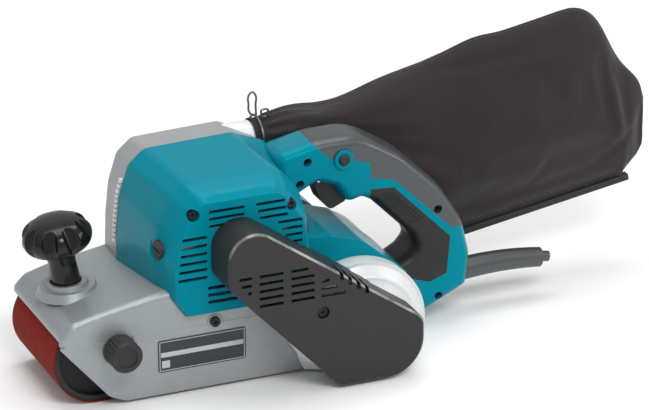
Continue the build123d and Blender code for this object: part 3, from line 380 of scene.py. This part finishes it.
def tube_mesh(path, radius, sides=8):
    """Closed tube along a list of points."""
    verts, faces = [], []
    count = len(path)
    for i, point in enumerate(path):
        ahead = path[min(i + 1, count - 1)] - path[max(i - 1, 0)]
        turn = ahead.to_track_quat("Z", "Y")
        size = radius * (0.55 if i in (0, count - 1) else 1.0)
        for k in range(sides):
            a = 2 * math.pi * k / sides
            verts.append(point + turn @ Vector((size * math.cos(a), size * math.sin(a), 0)))
    for i in range(count - 1):
        for k in range(sides):
            a, b = i * sides + k, i * sides + (k + 1) % sides
            faces.append((a, b, b + sides, a + sides))
    faces.append(tuple(reversed(range(sides))))
    faces.append(tuple(range((count - 1) * sides, count * sides)))
    return verts, faces


def joined(parts):
    """One mesh from several."""
    verts, faces = [], []
    for more_verts, more_faces in parts:
        offset = len(verts)
        verts += list(more_verts)
        faces += [tuple(i + offset for i in face) for face in more_faces]
    return verts, faces


# ---------------------------------------------------------------- dust bag
# The pouch is lofted through the CAD bag's own upright slices, folded, filled by a cloth simulation
# and sewn: a piped seam along its top, a row of stitches either side of it and two above the rail.

BAG_RINGS = 150
BAG_SIDES = 88
TOP_LINE, BOTTOM_LINE = BAG_SIDES // 4, 3 * BAG_SIDES // 4     # places round a ring
HEM_CLEAR = 1.2 * MM                   # the CAD bag's flat hem is thinner than this either side
RAIL_MIDDLE = 3.2 * MM                 # the slot's height above the rail's lowest corner
GATHER_DEPTH, GATHERS = 1.7 * MM, 11   # pleats under the clamp
SPREAD_DEPTH, SPREADS = 2.6 * MM, 5    # wide folds that open out behind them
DRIFT_DEPTH, RIPPLE_DEPTH = 2.4 * MM, 0.7 * MM


def bag_slices(count):
    """Upright slices of the CAD bag: x, top, bottom, near and far side."""
    mesh = nodes["dust_bag"].data
    co = np.empty(len(mesh.vertices) * 3, np.float32)
    mesh.vertices.foreach_get("co", co)
    co = co.reshape(-1, 3).astype(float)
    pairs = np.empty(len(mesh.edges) * 2, np.int32)
    mesh.edges.foreach_get("vertices", pairs)
    a, b = co[pairs.reshape(-1, 2)[:, 0]], co[pairs.reshape(-1, 2)[:, 1]]
    low, high = co[:, 0].min() + 0.2 * MM, co[:, 0].max() - 0.3 * MM
    middle = (co[:, 1].min() + co[:, 1].max()) / 2
    slices = []
    for i in range(count):
        x = low + (high - low) * i / (count - 1)
        hit = (a[:, 0] - x) * (b[:, 0] - x) < 0
        share = (x - a[hit, 0]) / (b[hit, 0] - a[hit, 0])
        points = a[hit] + share[:, None] * (b[hit] - a[hit])
        body = points[np.abs(points[:, 1] - middle) > HEM_CLEAR]
        slices.append((x, points[:, 2].max(), body[:, 2].min(), body[:, 1].min(), body[:, 1].max()))
    return np.array(slices)


TAUT = (262 * MM, 371 * MM)            # x of the bag's shoulder and of its highest point


def drawn_tight(slices):
    """Takes the slack out of the bag's top line between its shoulder and its highest point."""
    x, top = slices[:, 0], slices[:, 1].copy()
    between = (x > TAUT[0]) & (x < TAUT[1])
    chord = np.interp(x, TAUT, np.interp(TAUT, x, top))
    top[between] = np.maximum(top, chord)[between]
    eased = np.convolve(np.pad(top, 3, "edge"), np.full(7, 1 / 7), "valid")
    slices[between, 1] = eased[between]
    return slices


rail_joint = next(j for j in frame["joints"] if j["name"] == "rail_off")
RAIL_SLOPE = math.degrees(math.atan2(rail_joint["axis"][2], rail_joint["axis"][0]))


def rail_height(x):
    """Height of the rail's slot at x: the rail slides along its own sloping length."""
    low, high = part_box("bag_rail")
    slope = math.tan(math.radians(RAIL_SLOPE))
    return low.z + RAIL_MIDDLE + (x - low.x) * slope


def smooth_step(value, start, end):
    t = min(1.0, max(0.0, (value - start) / (end - start)))
    return t * t * (3 - 2 * t)


# Soft creases drawn into the cloth, in mm: start x, z, end x, z, depth (negative inwards) and width
CREASES = [(236, 199, 336, 206, -2.6, 4.5), (232, 207, 330, 213, 1.6, 5.0), (396, 196, 404, 128, -2.6, 5.5),
           (410, 176, 418, 108, 1.8, 5.0), (268, 66, 306, 92, -2.2, 5.0), (330, 74, 352, 108, -2.0, 6.0),
           (392, 84, 428, 118, -2.4, 5.0), (180, 150, 262, 118, -2.4, 7.0), (150, 172, 236, 160, 2.0, 6.0)]


def crease(x, z, x0, z0, x1, z1, depth, width):
    """Groove or fold along a line, dying out towards both ends."""
    px, pz, dx, dz = x / MM - x0, z / MM - z0, x1 - x0, z1 - z0
    length = math.hypot(dx, dz)
    along, across = (px * dx + pz * dz) / length, (pz * dx - px * dz) / length
    middle = smooth_step(along, -6.0, 0.3 * length) * (1 - smooth_step(along, 0.7 * length, length + 6.0))
    return depth * MM * middle * math.exp(-(across / width) ** 2)


def bag_folds(x, angle, z, neck_x, end_x):
    """Outward displacement of the cloth: gathers at the neck, drawn folds and soft ripples."""
    along = (x - neck_x) / (end_x - neck_x)
    gather = GATHER_DEPTH * math.exp(-max(0.0, x - neck_x - 0.012) / 0.022)
    gather *= smooth_step(x, neck_x + 0.008, neck_x + 0.016)
    fold = gather * math.cos(GATHERS * angle + 0.8 * math.sin(3 * angle))
    spread = SPREAD_DEPTH * smooth_step(along, 0.05, 0.16) * (1 - smooth_step(along, 0.25, 0.62))
    fold += spread * math.cos(SPREADS * angle + 1.3) \
        * (0.6 + 0.4 * noise.noise(Vector((x * 9, angle, 0.3))))
    side = abs(math.cos(angle))
    drift = noise.noise(Vector((x * 11, z * 26, 3.1 + (1.7 if math.cos(angle) > 0 else 0.0))))
    fold += DRIFT_DEPTH * drift * smooth_step(along, 0.15, 0.4) * smooth_step(side, 0.1, 0.5)
    ripple = noise.noise(Vector((x * 36, z * 30, 8.4 + math.cos(angle))))
    fold += RIPPLE_DEPTH * ripple
    return fold + side * sum(crease(x, z, *line) for line in CREASES)


def bag_mesh():
    slices = drawn_tight(bag_slices(BAG_RINGS))
    neck_x, end_x = slices[0][0], slices[-1][0]
    rail_low, rail_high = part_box("bag_rail")
    rings = []
    for x, top, low, near, far in slices:
        along_rail = smooth_step(x, rail_low.x - 0.028, rail_low.x + 0.014)
        along_rail *= 1 - smooth_step(x, rail_high.x - 0.016, rail_high.x + 0.004)
        low = low + (rail_height(x) - low) * along_rail
        half, mid_y = (far - near) / 2, (far + near) / 2
        end = smooth_step(x, end_x - 0.016, end_x)
        ring = []
        for k in range(BAG_SIDES):
            angle = 2 * math.pi * k / BAG_SIDES
            rise, wide = math.sin(angle), math.cos(angle)
            z = (top + low) / 2 + (top - low) / 2 * rise
            pinch = 1 - along_rail * 0.93 * max(0.0, -rise) ** 2.4
            push = bag_folds(x, angle, z, neck_x, end_x) * (1 - 0.8 * along_rail * max(0.0, -rise) ** 2)
            y = mid_y + half * wide * pinch * (1 - 0.12 * end)
            away = Vector((0, wide, rise * min(1.0, 2 * half / (top - low) + 0.2)))
            ring.append(Vector((x, y, z)) + away * push)
        rings.append(ring)
    return rings


def close_bag(rings):
    """Skin over the rings, a closed far end and a neck edge turned inwards."""
    first = rings[0]
    centre = sum(first, Vector()) / len(first)
    lip = []
    for depth, scale in ((0.7, 0.93), (0.4, 0.975)):
        lip.append([centre + (p - centre) * scale + Vector((-depth * 0.4 * MM, 0, 0)) for p in first])
    inner = [[centre + (p - centre) * 0.86 + Vector((depth * MM, 0, 0)) for p in first]
             for depth in (9.0, 2.0)]
    last = rings[-1]
    tail = sum(last, Vector()) / len(last)
    closing = []
    for scale, ahead in ((0.985, 0.5), (0.94, 0.9), (0.8, 1.1), (0.5, 1.1), (0.2, 1.1)):
        closing.append([Vector((p.x + ahead * MM, tail.y + (p.y - tail.y) * scale * 0.6,
                                tail.z + (p.z - tail.z) * scale)) for p in last])
    everything = inner + lip + rings + closing
    verts = [p for ring in everything for p in ring]
    faces = []
    for i in range(len(everything) - 1):
        for k in range(BAG_SIDES):
            a, b = i * BAG_SIDES + k, i * BAG_SIDES + (k + 1) % BAG_SIDES
            faces.append((a, a + BAG_SIDES, b + BAG_SIDES, b))
    start = (len(everything) - 1) * BAG_SIDES
    faces.append(tuple(start + k for k in range(BAG_SIDES)))
    return verts, faces


def billow(piece, pins, frames=18, pressure=3.0, cap=6.0 * MM):
    """Cloth simulation: air pressure fills the pouch, pinned along the neck and the rail. No point
    moves further than the cap, and the result is written into the mesh."""
    before = [v.co.copy() for v in piece.data.vertices]
    group = piece.vertex_groups.new(name="pins")
    for index, weight in pins:
        group.add([index], weight, "REPLACE")
    cloth = piece.modifiers.new("billow", "CLOTH")
    cloth.settings.quality = 6
    cloth.settings.mass = 0.25
    cloth.settings.tension_stiffness = 25
    cloth.settings.compression_stiffness = 12
    cloth.settings.shear_stiffness = 8
    cloth.settings.bending_stiffness = 0.6
    cloth.settings.vertex_group_mass = "pins"
    cloth.settings.use_pressure = True
    cloth.settings.uniform_pressure_force = pressure
    cloth.settings.effector_weights.gravity = 0.0
    cloth.collision_settings.use_collision = False
    scene = bpy.context.scene
    for number in range(1, frames + 1):
        scene.frame_set(number)
    result = piece.evaluated_get(bpy.context.evaluated_depsgraph_get()).to_mesh()
    after = [v.co.copy() for v in result.vertices]
    piece.modifiers.remove(cloth)
    scene.frame_set(1)
    for vertex, old, new in zip(piece.data.vertices, before, after):
        move = new - old
        if move.length > cap:
            move = move.normalized() * cap
        vertex.co = old + move
    piece.data.update()


def build_bag():
    rings = bag_mesh()
    verts, faces = close_bag(rings)
    bag = new_piece("bag_pouch", verts, faces, MATERIALS["bag_cloth"].material, "bag", "bag_cloth")
    neck_x = rings[0][0].x
    low_x, high_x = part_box("bag_rail")[0].x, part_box("bag_rail")[1].x
    pins = []
    for vertex in bag.data.vertices:
        point = vertex.co
        hold = 1 - smooth_step(point.x, neck_x + 0.014, neck_x + 0.05)
        if low_x - 0.01 < point.x < high_x + 0.004:
            over = point.z - rail_height(point.x)
            hold = max(hold, 1 - smooth_step(over, 0.004, 0.022))
        if hold > 0:
            pins.append((vertex.index, hold))
    billow(bag, pins)
    smooth = bag.modifiers.new("round", "SUBSURF")
    smooth.levels = smooth.render_levels = 1
    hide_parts("dust_bag")
    return bag, rings


bag, bag_rings = build_bag()
RINGS_BEFORE = 4                       # close_bag's inner and lip rings, before the first outer ring


def pouch_point(ring, k, lift=0.0):
    """Point of the filled pouch on one ring, at a fractional place k round it, lifted off the cloth."""
    start = (RINGS_BEFORE + ring) * BAG_SIDES
    verts = bag.data.vertices
    a = verts[start + int(k) % BAG_SIDES]
    b = verts[start + (int(k) + 1) % BAG_SIDES]
    share = k - int(k)
    return a.co.lerp(b.co, share) + a.normal.lerp(b.normal, share).normalized() * lift


def even_path(points, pitch):
    """Points at equal steps along a polyline."""
    path, left = [points[0]], pitch
    for a, b in zip(points, points[1:]):
        step, done = (b - a).length, 0.0
        while step - done >= left:
            done += left
            path.append(a.lerp(b, done / step))
            left = pitch
        left -= step - done
    return path


def stitch_row(points, pitch=3.0 * MM, radius=0.34 * MM):
    """Row of thread stitches, each a short arched length of thread."""
    path = even_path(points, pitch / 3)
    return [tube_mesh(path[i:i + 3], radius, sides=6) for i in range(0, len(path) - 3, 3)]


def hem_points(above, near):
    """Line on one side of the pouch at a height above the rail."""
    points = []
    rail_low, rail_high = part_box("bag_rail")
    for ring, (first, *_) in enumerate(bag_rings):
        if not rail_low.x + 0.004 < first.x < rail_high.x - 0.006:
            continue
        goal = rail_height(first.x) + above
        sides = range(BAG_SIDES // 2, BOTTOM_LINE) if near else range(BAG_SIDES, BOTTOM_LINE, -1)
        for k in sides:
            here, after = pouch_point(ring, k), pouch_point(ring, k + (1 if near else -1))
            if here.z >= goal > after.z:
                share = (here.z - goal) / (here.z - after.z)
                points.append(pouch_point(ring, k + (share if near else -share), 0.12 * MM))
                break
    return points


def build_stitching():
    count = len(bag_rings)
    top_seam = [pouch_point(i, TOP_LINE, 0.2 * MM) for i in range(9, count + 3)]
    ridge = even_path(top_seam, 2.5 * MM)
    piping = tube_mesh(ridge, 0.6 * MM, sides=10)
    rows = []
    for k in (TOP_LINE - 1, TOP_LINE + 1):
        rows += stitch_row([pouch_point(i, k, 0.12 * MM) for i in range(12, count - 1)])
    for above in (9.0 * MM, 11.8 * MM):
        for near in (True, False):
            rows += stitch_row(hem_points(above, near))
    new_piece("bag_piping", *piping, MATERIALS["bag_cloth"].material, "bag", "bag_cloth")
    new_piece("bag_stitches", *joined(rows), SEAM, "bag", "bag_cloth")


build_stitching()


# ---------------------------------------------------------------- tension spring

WIRE = 0.7 * MM
TURNS = 4.5


def coil_spring():
    """Spring behind the front carrier: a coil of wire along the CAD spring's length, fixed to the frame."""
    low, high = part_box("tension_spring")
    middle, radius = (low + high) / 2, (high.z - low.z) / 2 - WIRE
    count = round(TURNS * 26)
    path = []
    for i in range(count + 1):
        a = 2 * math.pi * TURNS * i / count
        x = low.x + WIRE + (high.x - low.x - 2 * WIRE) * i / count
        path.append(Vector((x, middle.y + radius * math.cos(a), middle.z + radius * math.sin(a))))
    spring = new_piece("coil_spring", *tube_mesh(path, WIRE, 10), MATERIALS["steel"].material,
                       "frame", "steel")
    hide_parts("tension_spring")
    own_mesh(spring)


coil_spring()


# ---------------------------------------------------------------- blank rating label

def flat_frame(low, high, y, depth, edge):
    """Thin rectangular border standing on the label."""
    outer = [(low.x, low.z), (high.x, low.z), (high.x, high.z), (low.x, high.z)]
    inner = [(low.x + edge, low.z + edge), (high.x - edge, low.z + edge),
             (high.x - edge, high.z - edge), (low.x + edge, high.z - edge)]
    verts = [Vector((x, d, z)) for d in (y, y - depth) for x, z in outer + inner]
    faces = []
    for k in range(4):
        n = (k + 1) % 4
        faces.append((8 + k, 8 + n, 12 + n, 12 + k))
        faces.append((k, 4 + k, 4 + n, n))
        faces.append((k, n, 8 + n, 8 + k))
        faces.append((4 + n, 4 + k, 12 + k, 12 + n))
    return verts, faces


def flat_bar(x0, x1, z0, z1, y, depth):
    verts = [Vector((x, d, z)) for d in (y, y - depth) for x, z in ((x0, z0), (x1, z0), (x1, z1), (x0, z1))]
    faces = [(0, 3, 2, 1), (4, 5, 6, 7), (0, 1, 5, 4), (1, 2, 6, 5), (2, 3, 7, 6), (3, 0, 4, 7)]
    return verts, faces


PRINT_DEPTH = 0.08 * MM
label_low, label_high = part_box("rating_plate")
inset_by = Vector((1.0 * MM, 0, 1.0 * MM))
border = flat_frame(label_low + inset_by, label_high - inset_by, label_low.y, PRINT_DEPTH, 0.7 * MM)
label_tall = label_high.z - label_low.z
stripe = flat_bar(label_low.x + 2.2 * MM, label_high.x - 2.2 * MM, label_low.z + 0.47 * label_tall,
                  label_low.z + 0.62 * label_tall, label_low.y, PRINT_DEPTH)
corner = flat_bar(label_low.x + 3.0 * MM, label_low.x + 10.0 * MM, label_low.z + 0.13 * label_tall,
                  label_low.z + 0.36 * label_tall, label_low.y, PRINT_DEPTH)
new_piece("label_print", *joined([border, stripe, corner]), BAND, "frame", "label_film", smooth=False)


# ---------------------------------------------------------------- floor, light and camera

def build_floor():
    mesh = bpy.data.meshes.new("floor")
    shape = bmesh.new()
    bmesh.ops.create_grid(shape, x_segments=8, y_segments=8, size=9.0)
    shape.to_mesh(mesh)
    shape.free()
    floor = bpy.data.objects.new("floor", mesh)
    floor.location = (0.1, 2.0, cad_low.z - 0.0004)
    bpy.context.scene.collection.objects.link(floor)
    g = Graph("studio_floor")
    tone = g.noise(1.6, 3.0)
    g.put(g.mix(tone, (0.86, 0.865, 0.87), (0.90, 0.90, 0.90)), g.shader.inputs["Base Color"])
    g.shader.inputs["Roughness"].default_value = 0.7
    mesh.materials.append(g.material)


def build_light(name, place, aim, size, power):
    light = bpy.data.lights.new(name, "AREA")
    light.shape = "RECTANGLE"
    light.size, light.size_y = size
    light.energy = power
    lamp = bpy.data.objects.new(name, light)
    lamp.location = place
    lamp.rotation_mode = "QUATERNION"
    lamp.rotation_quaternion = (Vector(aim) - Vector(place)).to_track_quat("-Z", "Y")
    bpy.context.scene.collection.objects.link(lamp)


def build_camera(target, azimuth, elevation, roll, distance, lens):
    """Long-lens three-quarter view from the drive cover's side; azimuth 0 looks along +Y."""
    a, e = math.radians(azimuth), math.radians(elevation)
    back = Vector((math.sin(a) * math.cos(e), -math.cos(a) * math.cos(e), math.sin(e)))
    data = bpy.data.cameras.new("camera")
    data.lens = lens
    data.sensor_width = 36.0
    data.clip_end = 60.0
    camera = bpy.data.objects.new("camera", data)
    camera.rotation_mode = "QUATERNION"
    camera.location = Vector(target) + back * distance
    aim = (-back).to_track_quat("-Z", "Y")
    camera.rotation_quaternion = aim @ Quaternion((0, 0, 1), math.radians(roll))
    bpy.context.scene.collection.objects.link(camera)
    bpy.context.scene.camera = camera


def build_world(strength):
    world = bpy.data.worlds.new("studio")
    world.use_nodes = True
    background = world.node_tree.nodes["Background"]
    background.inputs["Color"].default_value = (1.0, 1.0, 1.0, 1.0)
    background.inputs["Strength"].default_value = strength
    bpy.context.scene.world = world


build_floor()
build_world(strength=0.60)
build_light("key", place=(0.0, -2.0, 2.2), aim=(0.1, 0.0, 0.1), size=(1.3, 0.9), power=40.0)
build_light("top", place=(0.2, 0.5, 2.4), aim=(0.1, 0.0, 0.1), size=(2.0, 1.4), power=26.0)
build_light("side", place=(2.0, -0.9, 1.0), aim=(0.15, 0.0, 0.1), size=(0.8, 1.2), power=10.0)
build_camera(target=(0.1257, 0.0, 0.1163), azimuth=-22.57, elevation=23.32, roll=-0.21,
             distance=3.937, lens=264.96)
bpy.context.scene.view_settings.view_transform = "Standard"
